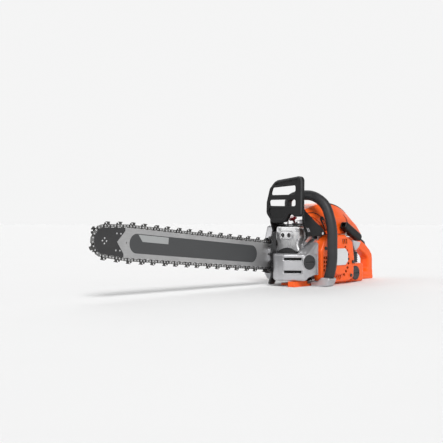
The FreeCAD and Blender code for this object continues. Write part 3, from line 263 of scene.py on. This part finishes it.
def dark_steel():
    return base_look("dark_steel", rgb(0.035, 0.035, 0.036), 0.38, metallic=0.3, spread=0.12, grain=900.0,
                     grain_depth=0.18, wear_colour=rgb(0.40, 0.40, 0.40), wear=0.9, dirt=0.1)


def chain_steel():
    """Oiled links with bright rubbed edges."""
    return base_look("chain_steel", rgb(0.085, 0.084, 0.082), 0.36, metallic=0.8, spread=0.25, patch=140.0,
                     grain=1500.0, grain_depth=0.15, wear_colour=rgb(0.42, 0.42, 0.41), wear=0.6, dirt=0.4,
                     edge_radius=0.0002)


def strap_steel():
    """The chain's outer plates, ground bright and a little oily."""
    return base_look("strap_steel", rgb(0.20, 0.20, 0.195), 0.32, metallic=0.85, spread=0.2, patch=160.0,
                     grain=1500.0, grain_depth=0.12, wear_colour=rgb(0.62, 0.62, 0.60), wear=0.6, dirt=0.5,
                     edge_radius=0.0002)


def muffler_steel():
    """Drawn sheet with fine vertical brushing and faint heat-tinted patches."""
    look = Shader("muffler_steel")
    brushed = look.noise(1.0, 4.0, 0.6, stretch=(900.0, 900.0, 40.0))
    patches = look.span(look.noise(28.0, 4.0), *NOISE_SPAN)
    tint = look.mix(patches, rgb(0.66, 0.66, 0.67), rgb(0.80, 0.80, 0.80))
    hot = look.span(look.noise(16.0, 2.0), 0.55, 0.8, 0.0, 0.18)
    tint = look.mix(hot, tint, rgb(0.60, 0.52, 0.42))
    look.feed(look.surface.inputs["Base Color"], tint)
    look.surface.inputs["Metallic"].default_value = 0.9
    look.feed(look.surface.inputs["Roughness"], look.span(brushed, *NOISE_SPAN, 0.24, 0.38))
    look.relief(brushed, 0.12, 2 * FINE_RELIEF, 0.0012)
    return look


def red_plastic():
    return base_look("red_plastic", rgb(0.26, 0.006, 0.012), 0.28, spread=0.1, grain=900.0, grain_depth=0.06,
                     wear_colour=rgb(0.5, 0.05, 0.05), wear=0.4, coat=0.3)


def felt():
    """Pleated filter cloth."""
    return base_look("felt", rgb(0.62, 0.60, 0.54), 0.85, spread=0.08, grain=2600.0, grain_depth=0.6,
                     specular=0.2)


def rope_fibre():
    """Braided cord: two crossing waves of fine ribs."""
    look = Shader("rope_fibre")
    waves = []
    for side in (1.0, -1.0):
        wave = look.node("TexWave", wave_type="BANDS", bands_direction="DIAGONAL")
        look.feed(wave.inputs["Vector"], look.stretched((side, 1.0, 1.0)))
        wave.inputs["Scale"].default_value = 420.0
        waves.append(wave.outputs["Fac"])
    braid = look.math("MAXIMUM", waves[0], waves[1])
    tint = look.mix(braid, rgb(0.30, 0.29, 0.27), rgb(0.62, 0.61, 0.58))
    look.feed(look.surface.inputs["Base Color"], tint)
    look.surface.inputs["Roughness"].default_value = 0.8
    look.relief(braid, 0.6, 3 * FINE_RELIEF)
    return look


def badge_silver():
    """Plain silver plate with a fine brushed grain and no lettering."""
    look = Shader("badge_silver")
    brushed = look.noise(1.0, 3.0, 0.6, stretch=(60.0, 60.0, 2600.0))
    tint = look.mix(look.span(brushed, *NOISE_SPAN), rgb(0.60, 0.61, 0.62), rgb(0.72, 0.73, 0.74))
    look.feed(look.surface.inputs["Base Color"], tint)
    look.surface.inputs["Metallic"].default_value = 0.25
    look.feed(look.surface.inputs["Roughness"], look.span(brushed, *NOISE_SPAN, 0.3, 0.42))
    look.relief(brushed, 0.05, FINE_RELIEF, 0.0006)
    return look


def ceramic():
    return base_look("ceramic", rgb(0.80, 0.80, 0.77), 0.2, spread=0.03, grain=400.0, grain_depth=0.04,
                     coat=0.4)


def panel_share(look, along, up):
    """1 inside the bar's painted panel and 0 outside it."""
    past = look.math("MAXIMUM", look.math("SUBTRACT", PANEL_START + PANEL_HALF_WIDTH, along),
                     look.math("SUBTRACT", along, PANEL_END - PANEL_HALF_WIDTH))
    past = look.math("MAXIMUM", past, 0.0)
    reach = look.math("SQRT", look.math("ADD", look.math("POWER", past, 2.0), look.math("POWER", up, 2.0)))
    return look.span(reach, PANEL_HALF_WIDTH - PAINT_BLUR, PANEL_HALF_WIDTH + PAINT_BLUR, 1.0, 0.0)


def field_share(look, along, up):
    """1 inside the panel's pale field, whose front end slants, and 0 outside it."""
    slanted = look.math("ADD", along, look.math("MULTIPLY", up, FIELD_SLANT))
    lengthwise = look.math("MINIMUM", look.math("SUBTRACT", slanted, FIELD_START),
                           look.math("SUBTRACT", FIELD_END, along))
    upright = look.math("MINIMUM", look.math("SUBTRACT", up, FIELD_LOW),
                        look.math("SUBTRACT", FIELD_HIGH, up))
    return look.span(look.math("MINIMUM", lengthwise, upright), 0.0, 1.5 * PAINT_BLUR)


def bar_steel():
    """Satin bar with a dark painted panel on both faces and a pale slanted field without lettering."""
    look = Shader("bar_steel")
    along = look.math("SUBTRACT", look.dot(BAR_ALONG), NOSE.dot(BAR_ALONG))
    up = look.math("SUBTRACT", look.dot(BAR_UP), NOSE.dot(BAR_UP))
    panel = panel_share(look, along, up)
    field = field_share(look, along, up)
    brushed = look.noise(1.0, 4.0, 0.6, stretch=(30.0, 900.0, 1500.0))
    patches = look.span(look.noise(20.0, 4.0), *NOISE_SPAN)
    steel = look.mix(patches, rgb(0.40, 0.40, 0.405), rgb(0.50, 0.50, 0.50))
    steel = look.mix(look.span(brushed, 0.35, 0.65, 0.0, 0.35), steel, rgb(0.30, 0.30, 0.30))
    scratches = look.span(look.noise(1.0, 5.0, 0.7, stretch=(25.0, 300.0, 520.0)), 0.66, 0.72, 0.0, 0.5)
    paint = look.mix(scratches, rgb(0.050, 0.052, 0.054), rgb(0.16, 0.16, 0.16))
    colour = look.mix(panel, steel, paint)
    colour = look.mix(look.math("MULTIPLY", field, panel), colour, rgb(0.34, 0.35, 0.35))
    look.feed(look.surface.inputs["Base Color"], colour)
    look.feed(look.surface.inputs["Metallic"], look.span(panel, 0.0, 1.0, 0.75, 0.1))
    look.feed(look.surface.inputs["Roughness"], look.span(brushed, *NOISE_SPAN, 0.34, 0.48))
    look.relief(brushed, 0.10, FINE_RELIEF, 0.0004)
    return look


def orange_shadow():
    """Painted shade: the cover's orange, darkened where a crease shades it."""
    return base_look("orange_shadow", rgb(0.32, 0.028, 0.004), 0.5, spread=0.06, grain=900.0,
                     grain_depth=0.05)


def pale_plastic():
    return base_look("pale_plastic", rgb(0.46, 0.46, 0.48), 0.42, spread=0.05, grain=1300.0, grain_depth=0.15,
                     dirt=0.1)


FINISHES = (strap_steel, orange_shadow, pale_plastic, orange_plastic, black_plastic, grey_plastic,
            handle_rubber, magnesium, aluminium, bright_steel, bar_steel, dark_steel, chain_steel,
            muffler_steel, red_plastic, felt, rope_fibre, badge_silver, ceramic)

# CAD nodes that look unlike the rest of their slot
NODE_LOOKS = {"chain_straps": "strap_steel", "chain_rivets": "bright_steel", "case_screws": "dark_steel"}


def dress_frame(looks):
    """Give every CAD node the material of its slot in the record, or its own."""
    for part in frame["record"]["subparts"]:
        mesh = frame["nodes"][part["node"]].data
        mesh.materials.clear()
        mesh.materials.append(looks[NODE_LOOKS.get(part["node"], part["material_slot"])].material)


# ---------------------------------------------------------------- mesh helpers

def new_piece(name, vertices, faces, look, body="root", smooth=True):
    """A mesh piece in the model's frame, dressed and riding on a body; vertices are in millimetres."""
    mesh = bpy.data.meshes.new(name)
    mesh.from_pydata([tuple(Vector(vertex) * MM) for vertex in vertices], [], faces)
    mesh.validate()
    made = bpy.data.objects.new(name, mesh)
    bpy.context.scene.collection.objects.link(made)
    mesh.materials.append(look.material)
    turn_outward(mesh)
    for face in mesh.polygons:
        face.use_smooth = smooth
    if body is not None:
        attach(made, body)
    return made


def turn_outward(mesh):
    """Make the faces point out of the piece."""
    work = bmesh.new()
    work.from_mesh(mesh)
    bmesh.ops.recalc_face_normals(work, faces=work.faces)
    work.to_mesh(mesh)
    work.free()


def bevelled(piece, width):
    """Round the piece's edges, keep its flat faces flat."""
    round_over = piece.modifiers.new("round_over", "BEVEL")
    round_over.width = width * MM
    round_over.segments = 3
    round_over.limit_method = "ANGLE"
    round_over.angle_limit = math.radians(35)
    round_over.harden_normals = True
    return piece


def held(value, low, high):
    """The value kept between two limits."""
    return max(low, min(high, value))


def circle(count, radius=1.0):
    """Points round a circle, as pairs."""
    turns = [2 * math.pi * index / count for index in range(count)]
    return [(radius * math.cos(turn), radius * math.sin(turn)) for turn in turns]


def tube_faces(rows, sides, closed=False):
    """Faces between rows of points: an open tube has two caps, and a closed one meets itself."""
    faces = []
    for row in range(rows if closed else rows - 1):
        here = row * sides
        ahead = ((row + 1) % rows) * sides
        for corner in range(sides):
            following = (corner + 1) % sides
            faces.append((here + corner, here + following, ahead + following, ahead + corner))
    if not closed:
        faces.append(tuple(range(sides)))
        faces.append(tuple(range(sides * (rows - 1), sides * rows)))
    return faces


def smooth_line(points, count):
    """A count of points on a smooth curve through the given ones, the same number in each span."""
    points = [Vector(point) for point in points]
    ends = [points[0] * 2 - points[1]] + points + [points[-1] * 2 - points[-2]]
    spans = len(points) - 1
    line = []
    for step in range(count):
        travel = spans * step / (count - 1)
        index = min(int(travel), spans - 1)
        t = travel - index
        a, b, c, d = ends[index:index + 4]
        line.append(0.5 * ((2 * b) + (c - a) * t + (2 * a - 5 * b + 4 * c - d) * t ** 2
                           + (3 * b - a - 3 * c + d) * t ** 3))
    return line


def skin_of(node):
    """A search tree over a CAD node's faces, in millimetres."""
    mesh = frame["nodes"][node].data
    return BVHTree.FromPolygons([vertex.co / MM for vertex in mesh.vertices],
                                [tuple(face.vertices) for face in mesh.polygons])


def laid_strip(name, node, route, width, height, look, taper=0.25):
    """A strip that lies on a CAD surface along a route, with rounded shoulders and tapered ends.

    The profile gives pairs of shares of the width and the height, and its foot sinks into the surface.
    """
    profile = [(-0.5, -1.0), (-0.5, 0.35), (-0.36, 0.9), (-0.12, 1.0), (0.12, 1.0), (0.36, 0.9), (0.5, 0.35),
               (0.5, -1.0)]
    count = 48
    sink = 0.6
    skin = skin_of(node)
    feet = [skin.find_nearest(point) for point in smooth_line(route, count)]
    vertices = []
    for index, (spot, normal, _, _) in enumerate(feet):
        ahead = feet[min(index + 1, count - 1)][0] - feet[max(index - 1, 0)][0]
        side = ahead.normalized().cross(normal).normalized()
        from_end = min(index, count - 1 - index) / (count * taper)
        share = math.sqrt(min(1.0, 0.12 + from_end))
        for across, lift in profile:
            foot, out, _, _ = skin.find_nearest(spot + side * across * width * share)
            rise = -sink if lift < 0 else lift * height * share
            vertices.append(foot + normal.lerp(out, 0.5).normalized() * rise)
    return new_piece(name, vertices, tube_faces(count, len(profile)), look)


def plate(name, plane, outline, low, high, look, bevel, body="root"):
    """A plate with a flat outline in a plane and a rounded rim."""
    def spot(a, b, level):
        return {"XZ": (a, level, b), "XY": (a, b, level), "YZ": (level, a, b)}[plane]

    vertices = [spot(a, b, level) for level in (low, high) for a, b in outline]
    return bevelled(new_piece(name, vertices, tube_faces(2, len(outline)), look, body), bevel)


def turned(name, centre, axis, profile, look, sides=64, closed=False):
    """A turned piece: the profile gives pairs of travel along the axis and radius; a ring's is closed."""
    axis = Vector(axis).normalized()
    side = axis.orthogonal().normalized()
    other = axis.cross(side)
    vertices = [Vector(centre) + axis * travel + (side * across + other * up) * radius
                for travel, radius in profile for across, up in circle(sides)]
    return new_piece(name, vertices, tube_faces(len(profile), sides, closed), look)


def round_bar(name, route, radius, look, count, body="root", sides=20, closed=False):
    """A round bar that follows a smooth line."""
    line = smooth_line(list(route) + ([route[0]] if closed else []), count)
    if closed:
        line = line[:-1]
    total = len(line)
    vertices = []
    nearly_up = Vector((0.05, 0.03, 1.0))
    for index in range(total):
        ahead = line[(index + 1) % total] if closed or index + 1 < total else line[index]
        back = line[index - 1] if closed or index > 0 else line[index]
        along = (ahead - back).normalized()
        side = along.cross(nearly_up)
        if side.length < 0.2:
            side = along.cross(Vector((1.0, 0.0, 0.0)))
        side.normalize()
        other = along.cross(side).normalized()
        vertices += [line[index] + side * a + other * b for a, b in circle(sides, radius)]
    return new_piece(name, vertices, tube_faces(total, sides, closed), look, body)


# ---------------------------------------------------------------- trim of the top cover

def make_cover_trim(looks):
    """A dark ribbed panel and line on the cover's left front, a strip on its ridge and a strip of painted
    shade along a crease behind.
    """
    line = [(-67.5, -30, 194.5), (-60.5, -36, 196.8), (-49, -42.5, 196.5), (-40, -49, 192), (-35, -56.5, 183),
            (-33, -57.5, 178)]
    laid_strip("cover_intake_line", "cylinder_cover", line, 2.4, 0.8, looks["black_plastic"], taper=0.1)
    panel = [(-36, -55, 186), (-31, -57.4, 178), (-25.5, -58.3, 169), (-20, -58.8, 159), (-15, -59.2, 148)]
    laid_strip("cover_intake_panel", "cylinder_cover", panel, 15.0, 1.5, looks["black_plastic"], taper=0.12)
    for number, shift in ((1, -2.6), (2, 2.6)):
        rib = [(x + shift, y - 0.9, z) for x, y, z in panel[1:]]
        laid_strip("cover_intake_rib_%d" % number, "cylinder_cover", rib, 1.8, 2.6, looks["orange_plastic"],
                   taper=0.1)
    ridge = [(10, -30, 225), (45, -30, 224), (85, -29, 216), (118, -27, 203), (142, -25, 188)]
    laid_strip("cover_ridge_strip", "cylinder_cover", ridge, 9.0, 1.6, looks["black_plastic"])
    # Painted shade: a darker orange strip laid where a crease's shade falls on the cover's rear.
    crease = [(84, -50, 193), (83.5, -57, 186), (86, -59.5, 177), (92, -59.5, 168), (98, -58.8, 160)]
    laid_strip("cover_rear_crease_shade", "cylinder_cover", crease, 7.0, 0.9, looks["orange_shadow"], taper=0.3)


# ---------------------------------------------------------------- trim of the front and sides

def make_muffler_trim(looks):
    """The muffler's heat shield, brackets, bolts, pad bead and the dark sheet under it, which is painted
    shade in its arch.
    """
    front = -113.0
    bracket_front = front - 1.8
    pad_front = front - 3.9
    shield_low = 163.4
    plate("muffler_heat_shield", "XY", [(-111, -35), (-111, 37), (-64, 37), (-64, -35)], shield_low,
          shield_low + 3.0, looks["black_plastic"], bevel=1.2)
    plate("muffler_bracket", "YZ", [(-37, 118), (-37, 157), (-29, 157), (-27, 150), (-31, 141), (-29, 124)],
          bracket_front, front - 0.1, looks["bright_steel"], bevel=0.6)
    socket_bolt = [(-0.5, 5.4), (1.6, 5.4), (2.2, 4.8), (2.2, 2.6), (0.9, 2.3)]
    for name, x, y, z in (("muffler_bolt_right", front, 27.0, 152.0),
                          ("muffler_bolt_left", bracket_front, -33.0, 151.0)):
        turned(name, (x, y, z), (-1, 0, 0), socket_bolt, looks["bright_steel"], sides=48)
    bead = [(-16, 130), (-16, 142), (-11, 147), (3, 147.4), (17, 147), (22, 142), (22, 130), (17, 125),
            (3, 124.6), (-11, 125)]
    round_bar("muffler_pad_bead", [(pad_front, y, z) for y, z in bead], 0.9, looks["bright_steel"], count=120,
              sides=12, closed=True)
    # Painted shade: a dark sheet in the arch at the muffler's foot, where its shade falls.
    plate("muffler_arch_shade", "YZ",
          [(-30, 89), (-24, 96), (-14, 101), (0, 103), (14, 101), (26, 96), (33, 89)],
          front - 0.7, front - 0.05, looks["dark_steel"], bevel=0.2)
    plate("muffler_side_bracket", "XZ",
          [(-112, 101), (-112, 112), (-84, 134), (-70, 134), (-70, 125), (-84, 121)],
          -50.0, -44.0, looks["bright_steel"], bevel=0.5)


def bellows_profile():
    """Five round ribs between two ends, as pairs of travel and radius."""
    valley = 9.6
    crest = 11.0
    pitch = 6.0
    profile = [(0.0, 6.0)]
    for rib in range(5):
        start = 1.0 + pitch * rib
        profile += [(start, valley), (start + 1.4, crest), (start + 3.2, crest), (start + 4.6, valley)]
    return profile + [(31.0, 9.4), (31.6, 6.0)]


def make_side_trim(looks):
    """Pale side piece under the starter handle, rubber bellows over the springs, and the fuel cap's rim."""
    plate("rear_side_piece", "XZ", [(146, 119), (190, 113), (181, 100), (164, 88), (156, 92), (150, 104)],
          -43.5, -37.0, looks["pale_plastic"], bevel=2.0)
    for name, y in (("spring_bellows_left", -46), ("spring_bellows_right", 40)):
        turned(name, (146, y, 54.5), (0, 0, 1), bellows_profile(), looks["handle_rubber"])
    rim = [(0.0, 19.9), (0.0, 22.0), (1.5, 22.4), (3.2, 21.9), (3.9, 21.0), (3.2, 20.0), (2.0, 19.8)]
    turned("fuel_cap_rim", (117, -65.8, 27), (0, -1, 0), rim, looks["orange_plastic"], closed=True)


def make_guard_trim(looks):
    """Raised rim round the guard's front, whose lighter grey is partly a painted highlight, and two slanted
    slots on its left arm.
    """
    rim_front = -131.5
    outline = [(38, 268), (22, 281), (-10, 285.5), (-48, 290), (-57, 287), (-59.5, 278), (-59.5, 240),
               (-59, 192)]
    route = [(rim_front, y, z) for y, z in outline]
    # The rim's rounded shape is real; its lighter grey against the black guard is partly a painted highlight
    # along the edge.
    round_bar("guard_rim_highlight", route, 2.4, looks["grey_plastic"], body="guard", count=96)
    width = 2.8
    lean = 7.2
    arm_side = -66.8
    for index in range(2):
        left = -119.5 + 6.5 * index
        slot = [(left, 156), (left + width, 156), (left + lean + width, 145.5), (left + lean, 145.5)]
        plate("guard_arm_slot_%d" % (index + 1), "XZ", slot, arm_side - 0.8, arm_side, looks["pale_plastic"],
              body="guard", bevel=0.3)


def make_case_trim(looks):
    """Black plates of painted shade in the two grooves in the case's slanted front and in the arch under it.
    """
    corner = Vector((-149.0, -44.0, 0.0))
    sweep = math.radians(-52)
    along = Vector((math.cos(sweep), math.sin(sweep), 0.0))
    inward = Vector((-along.y, along.x, 0.0))
    half_length = 23.0
    depth = 7.0
    back = depth + 0.9
    height = 7.4
    outline = [(-half_length, depth), (half_length, depth), (half_length, back), (-half_length, back)]
    # Painted shadow: black plates on the grooves' floors, where the upper lips' shadow falls.
    for number, low in enumerate((70.2, 36.2), 1):
        vertices = [corner + along * a + inward * b + Vector((0, 0, z))
                    for z in (low, low + height) for a, b in outline]
        shade_plate = new_piece("case_groove_lining_%d" % number, vertices, tube_faces(2, len(outline)),
                           looks["black_plastic"])
        bevelled(shade_plate, 0.4)
    # Painted shade: a black plate in the arch under the case, where its shade falls.
    plate("case_arch_shade", "XZ", [(-126, 14), (-116, 23.5), (-96, 30), (-80, 30), (-66, 14)], -48.9, -48.2,
          looks["black_plastic"], bevel=0.3)


def make_vent_shade(looks):
    """A dark sheet of painted shade behind the starter housing's vents, inside the housing and clear of the
    pulley.
    """
    sides = 96
    centre_x = CRANK.x / MM
    centre_z = CRANK.z / MM
    front_reach = 60.0
    rear_reach = 92.0
    up_reach = 62.0
    hole_radius = 34.5
    outline = []
    for a, b in circle(sides):
        x = centre_x + (front_reach if a < 0 else rear_reach) * a
        z = centre_z + up_reach * b
        outline.append((held(x, -67.0, 84.0), held(z, 12.0, 131.0)))
    hole = [(centre_x + a, centre_z + b) for a, b in circle(sides, hole_radius)]
    near = -80.9
    far = -79.9
    rows = ((outline, near), (outline, far), (hole, far), (hole, near))
    vertices = [(x, level, z) for points, level in rows for x, z in points]
    faces = tube_faces(len(rows), sides, closed=True)
    # Painted shade: a black sheet behind the vents, where the housing's inside lies in shade.
    new_piece("starter_vent_shade", vertices, faces, looks["black_plastic"], smooth=False)


def make_rope(looks):
    """The starter rope between the housing's outlet and the handle, riding on no body."""
    start = Vector((62.0, -70.5, 128.0))
    end = Vector((66.0, -74.5, 160.0))
    radius = 1.75
    route = [start.lerp(end, step / 4.0) for step in range(5)]
    rope = round_bar("starter_rope_run", route, radius, looks["rope_fibre"], body=None, count=80, sides=16)
    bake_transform(rope)


# ---------------------------------------------------------------- stage, light and camera

def floor_paper():
    """Pale matt paper, a hair uneven."""
    look = Shader("floor_paper")
    grey = rgb(0.84, 0.84, 0.84)
    tint = look.mix(look.noise(3.0, 2.0), shade(grey, 0.99), shade(grey, 1.01))
    look.feed(look.surface.inputs["Base Color"], tint)
    look.surface.inputs["Roughness"].default_value = 1.0
    return look


def make_stage():
    """A flat floor, so wide that its far edge lies at the horizon."""
    half = 40.0
    corners = [(-half, -half, 0), (half, -half, 0), (half, half, 0), (-half, half, 0)]
    mesh = bpy.data.meshes.new("floor")
    mesh.from_pydata(corners, [], [(0, 1, 2, 3)])
    mesh.materials.append(floor_paper().material)
    floor = bpy.data.objects.new("floor", mesh)
    bpy.context.scene.collection.objects.link(floor)


def sun_light(name, towards, strength, spread_deg):
    """A distant soft lamp that shines along a direction, as strong on the far floor as on the near."""
    lamp = bpy.data.lights.new(name, "SUN")
    lamp.energy = strength
    lamp.angle = math.radians(spread_deg)
    made = bpy.data.objects.new(name, lamp)
    made.rotation_euler = Vector(towards).to_track_quat("-Z", "Y").to_euler()
    bpy.context.scene.collection.objects.link(made)


def make_lights():
    """A bright horizon under a dimmer sky, and three soft distant lamps.

    The sky gives pairs of height, from 0 at the horizon to 1 overhead, and grey level.
    """
    sky = ((0.0, 0.91), (0.28, 0.91), (0.44, 0.26), (1.0, 0.14))
    world = bpy.data.worlds.new("studio")
    bpy.context.scene.world = world
    world.use_nodes = True
    tree = world.node_tree
    back = tree.nodes["Background"]
    back.inputs["Strength"].default_value = 1.0
    split = tree.nodes.new("ShaderNodeSeparateXYZ")
    tree.links.new(tree.nodes.new("ShaderNodeTexCoord").outputs["Generated"], split.inputs[0])
    ramp = tree.nodes.new("ShaderNodeValToRGB")
    tree.links.new(split.outputs["Z"], ramp.inputs[0])
    tree.links.new(ramp.outputs[0], back.inputs["Color"])
    for _ in sky[2:]:
        ramp.color_ramp.elements.new(0.5)
    for stop, (place, level) in zip(ramp.color_ramp.elements, sky):
        stop.position = place
        stop.color = rgb(level, level, level)
    sun_light("key", (0.55, 0.62, -0.75), 2.45, 24.0)
    sun_light("side", (0.85, -0.45, -0.40), 0.60, 40.0)
    sun_light("back", (-0.70, -0.60, -0.55), 1.10, 50.0)


def make_camera():
    lens = bpy.data.cameras.new("camera")
    lens.lens = LENS
    lens.sensor_width = SENSOR
    camera = bpy.data.objects.new("camera", lens)
    camera.location = CAMERA_PLACE
    camera.rotation_euler = CAMERA_AIM.to_track_quat("-Z", "Y").to_euler()
    bpy.context.scene.collection.objects.link(camera)
    bpy.context.scene.camera = camera


def main():
    make_camera()
    make_stage()
    make_lights()
    bpy.context.scene.view_settings.view_transform = "Standard"
    looks = {finish.__name__: finish() for finish in FINISHES}
    dress_frame(looks)
    make_cover_trim(looks)
    make_muffler_trim(looks)
    make_side_trim(looks)
    make_guard_trim(looks)
    make_case_trim(looks)
    make_vent_shade(looks)
    make_rope(looks)


main()
